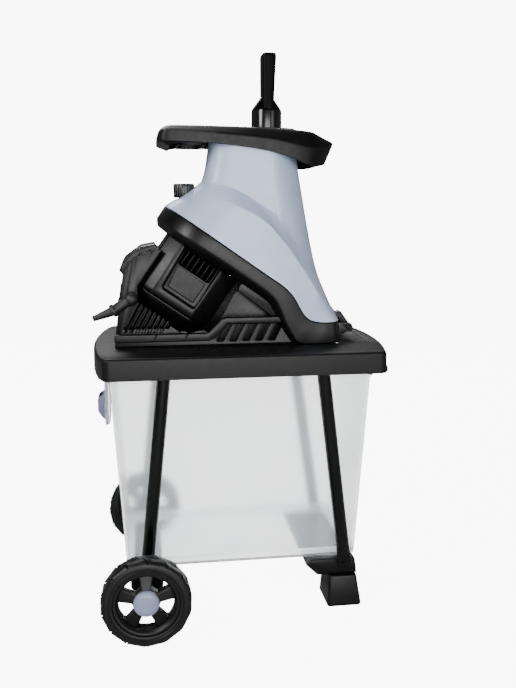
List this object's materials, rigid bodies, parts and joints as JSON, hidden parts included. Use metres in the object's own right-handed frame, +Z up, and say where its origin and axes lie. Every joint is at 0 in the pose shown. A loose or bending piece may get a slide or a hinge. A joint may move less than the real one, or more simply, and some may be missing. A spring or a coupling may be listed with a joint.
{
  "type": "garden shredder",
  "caption": "Electric garden shredder on a wheeled stand, with a tilting hopper over a blade disc and a slide-out collection box under its lid.",
  "frame": {"origin": "on the floor, under the middle of the machine's bounding box", "axes": "+X towards the feet, away from the wheels; +Y towards the far side; +Z up"},
  "size_m": [0.5486, 0.497, 1.039],
  "materials": {
    "black_plastic": "satin moulded",
    "gloss_black": "gloss moulded",
    "grey_blue_plastic": "satin moulded",
    "box_plastic": "translucent milky",
    "latch_plastic": "satin moulded",
    "painted_tube": "gloss powder coat",
    "steel": "turned",
    "copper": "enamelled wire",
    "boot_rubber": "matt",
    "wheel_plastic": "satin moulded",
    "reset_red": "satin moulded"
  },
  "bodies": {
    "chassis": {"lid_deck": "black_plastic", "rear_leg_near": "painted_tube", "rear_leg_far": "painted_tube", "front_leg_near": "painted_tube", "front_leg_far": "painted_tube", "axle_carrier": "black_plastic", "foot_beam": "black_plastic", "foot_near": "black_plastic", "foot_far": "black_plastic", "axle": "steel", "axle_spacers": "black_plastic", "axle_retainers": "steel", "base_cradle": "black_plastic", "electrics_housing": "black_plastic", "switch_frame": "black_plastic", "cord_boot": "boot_rubber", "box_switch": "black_plastic", "lower_shell": "black_plastic", "lock_bracket": "steel", "hinge_pin": "steel", "motor_housing": "black_plastic", "motor_end_cover": "black_plastic", "stator_core": "steel", "stator_windings": "copper", "brush_holders": "copper", "upper_bearing": "steel", "lower_bearing": "steel"},
    "wheel_near": {"tyre_near": "wheel_plastic", "rim_near": "wheel_plastic", "hub_cap_near": "grey_blue_plastic"},
    "wheel_far": {"tyre_far": "wheel_plastic", "rim_far": "wheel_plastic", "hub_cap_far": "grey_blue_plastic"},
    "hopper": {"hopper_shell": "grey_blue_plastic", "top_collar": "black_plastic"},
    "pusher": {"pusher": "gloss_black"},
    "knob": {"lock_knob": "black_plastic", "lock_screw": "steel"},
    "cutter": {"motor_shaft": "steel", "armature_core": "steel", "commutator": "copper", "cooling_fan": "black_plastic", "blade_disc": "steel", "blades": "steel", "blade_screws": "steel", "disc_bolt": "steel"},
    "box": {"collection_box": "box_plastic"},
    "latch": {"box_latch": "latch_plastic"},
    "rocker": {"power_rocker": "gloss_black"},
    "reset": {"reset_button": "reset_red"}
  },
  "joints": [
    {"name": "wheel_near_spin", "type": "hinge", "parent": "chassis", "child": "wheel_near", "pos_m": [-0.18725, 0, 0.08], "axis": [0, 1, 0], "continuous": true},
    {"name": "wheel_far_spin", "type": "hinge", "parent": "chassis", "child": "wheel_far", "pos_m": [-0.18725, 0, 0.08], "axis": [0, 1, 0], "continuous": true},
    {"name": "hopper_tilt", "type": "hinge", "parent": "chassis", "child": "hopper", "pos_m": [0.20975, 0, 0.529], "axis": [0, 1, 0], "range_deg": [0, 75]},
    {"name": "pusher_lift", "type": "slide", "parent": "hopper", "child": "pusher", "axis": [0, 0, 1], "range_m": [0, 0.15]},
    {"name": "knob_turn", "type": "hinge", "parent": "hopper", "child": "knob", "pos_m": [-0.09725, 0, 0.78], "axis": [0, 0, 1], "continuous": true},
    {"name": "cutter_spin", "type": "hinge", "parent": "chassis", "child": "cutter", "pos_m": [-0.04325, 0, 0.698], "axis": [0.5736, 0, 0.8192], "continuous": true},
    {"name": "box_slide", "type": "slide", "parent": "chassis", "child": "box", "axis": [-1, 0, 0], "range_m": [0, 0.42]},
    {"name": "latch_lift", "type": "slide", "parent": "box", "child": "latch", "axis": [0, 0, 1], "range_m": [0, 0.012]},
    {"name": "rocker_tilt", "type": "hinge", "parent": "chassis", "child": "rocker", "pos_m": [-0.21568, 0, 0.59156], "axis": [0, 1, 0], "range_deg": [-14, 0]},
    {"name": "reset_press", "type": "slide", "parent": "chassis", "child": "reset", "axis": [0.9903, 0, -0.1392], "range_m": [0, 0.003], "stiffness_N_per_m": 300}
  ]
}
